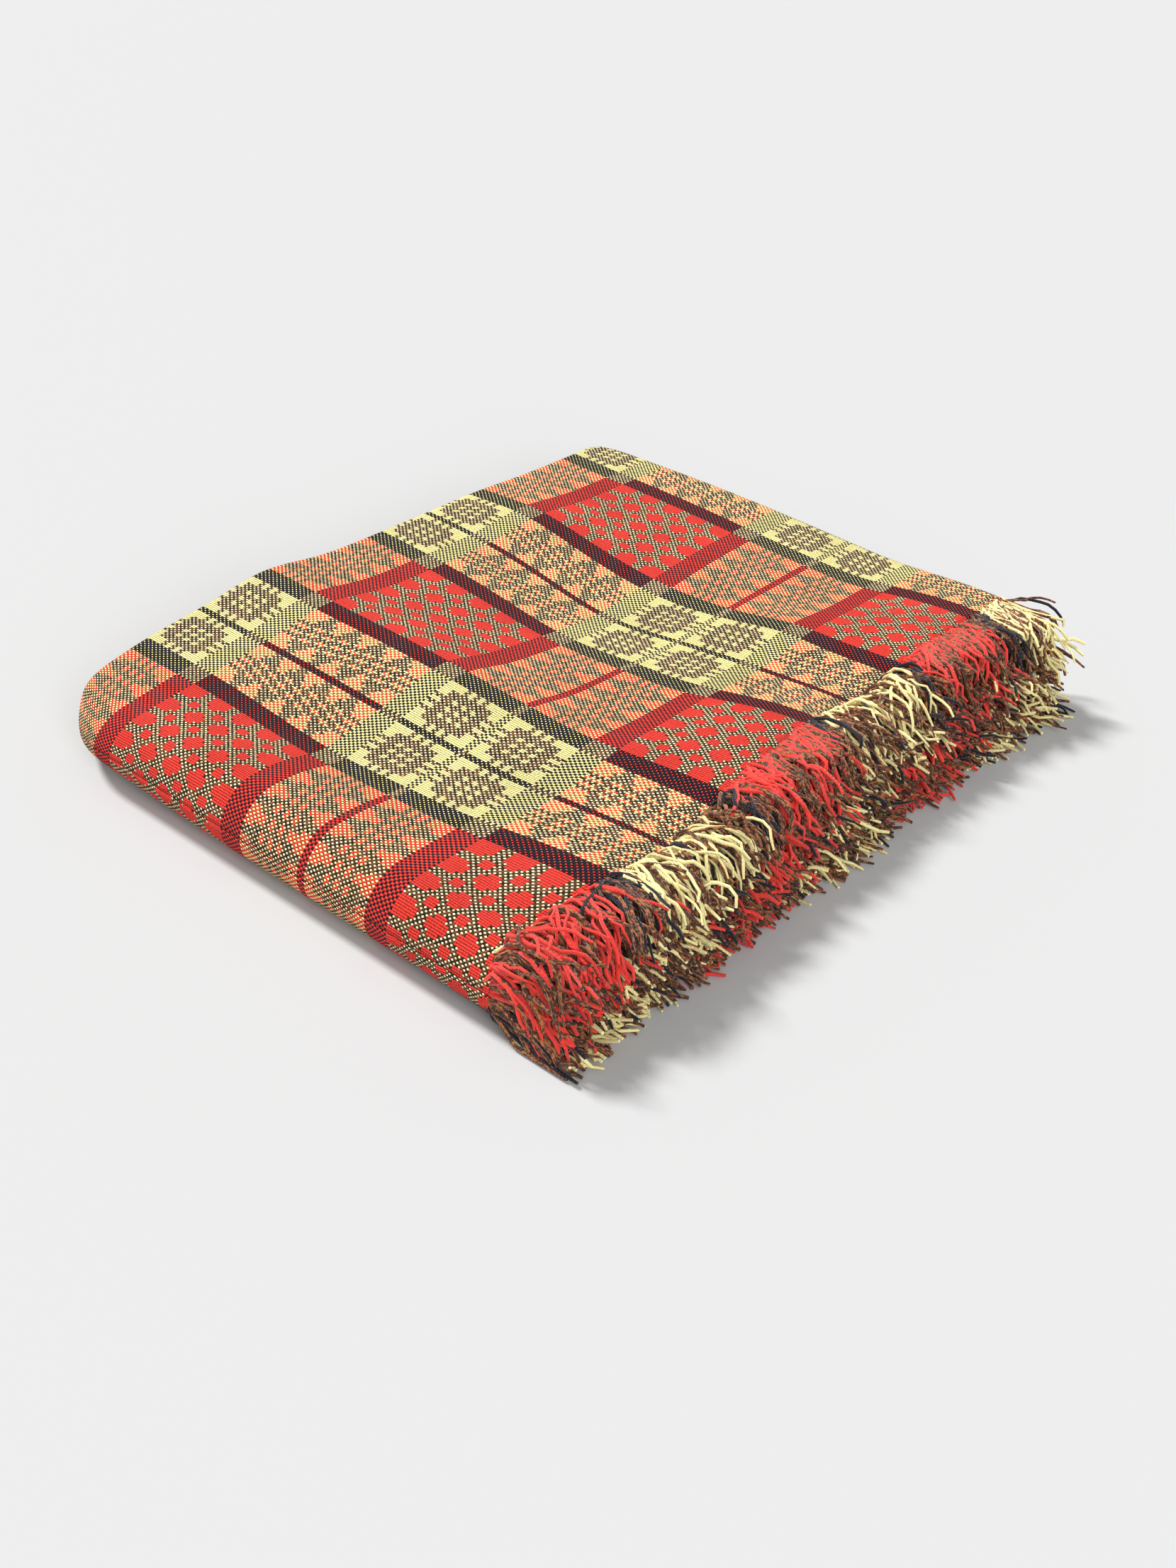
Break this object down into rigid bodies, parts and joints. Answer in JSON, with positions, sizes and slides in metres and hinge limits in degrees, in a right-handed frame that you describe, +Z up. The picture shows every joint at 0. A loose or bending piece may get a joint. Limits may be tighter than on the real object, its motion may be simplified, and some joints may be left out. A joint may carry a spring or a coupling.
{
  "type": "folded throw blanket",
  "caption": "Folded double-woven wool throw with blocks, bars and fringed ends; the last fold opens like a book.",
  "frame": {"origin": "under the middle of the folded stack, on the surface that it lies on", "axes": "+X along the warp towards the fringed ends, +Y across the warp from the last fold towards the fold on the throw's centre line, +Z up"},
  "size_m": [0.388, 0.49, 0.0452],
  "materials": {
    "woven_cloth": "soft brushed wool in two interwoven layers",
    "fringe_yarn": "loose two-ply wool yarn, red, yellow, black and marled brown",
    "selvedge": "firm woven wool edge"
  },
  "bodies": {
    "lower_packet": {"panel_w4_l1": "woven_cloth", "panel_w4_l4": "woven_cloth", "panel_w4_l3": "woven_cloth", "panel_w4_l2": "woven_cloth", "panel_w1_l1": "woven_cloth", "panel_w1_l4": "woven_cloth", "panel_w1_l3": "woven_cloth", "panel_w1_l2": "woven_cloth", "bend_mid_w4": "woven_cloth", "bend_outer_w4": "woven_cloth", "bend_inner_w4": "woven_cloth", "bend_mid_w1": "woven_cloth", "bend_outer_w1": "woven_cloth", "bend_inner_w1": "woven_cloth", "turn_inner_lower": "woven_cloth", "turn_outer_lower": "woven_cloth", "fringe_w4_l1": "fringe_yarn", "fringe_w4_l4": "fringe_yarn", "fringe_w1_l1": "fringe_yarn", "fringe_w1_l4": "fringe_yarn", "selvedge_end": "selvedge", "selvedge_start": "selvedge"},
    "upper_packet": {"panel_w2_l1": "woven_cloth", "panel_w2_l4": "woven_cloth", "panel_w2_l3": "woven_cloth", "panel_w2_l2": "woven_cloth", "panel_w3_l1": "woven_cloth", "panel_w3_l4": "woven_cloth", "panel_w3_l3": "woven_cloth", "panel_w3_l2": "woven_cloth", "bend_mid_w2": "woven_cloth", "bend_outer_w2": "woven_cloth", "bend_inner_w2": "woven_cloth", "bend_mid_w3": "woven_cloth", "bend_outer_w3": "woven_cloth", "bend_inner_w3": "woven_cloth", "turn_centre_l1": "woven_cloth", "turn_centre_l4": "woven_cloth", "turn_centre_l3": "woven_cloth", "turn_centre_l2": "woven_cloth", "turn_outer_upper": "woven_cloth", "turn_inner_upper": "woven_cloth", "fringe_w3_l1": "fringe_yarn", "fringe_w3_l4": "fringe_yarn"},
    "top_fringe": {"fringe_w2_l1": "fringe_yarn", "fringe_w2_l4": "fringe_yarn"}
  },
  "joints": [
    {"name": "throw_open", "type": "hinge", "parent": "lower_packet", "child": "upper_packet", "pos_m": [0, -0.245, 0.02262], "axis": [1, 0, 0], "range_deg": [0, 180]},
    {"name": "top_fringe_swing", "type": "hinge", "parent": "upper_packet", "child": "top_fringe", "pos_m": [0.136, 0, 0.04258], "axis": [0, -1, 0], "range_deg": [0, 26]}
  ],
  "couplings": [
    {"joint": "top_fringe_swing", "follows": "throw_open", "ratio": 0.1411}
  ]
}
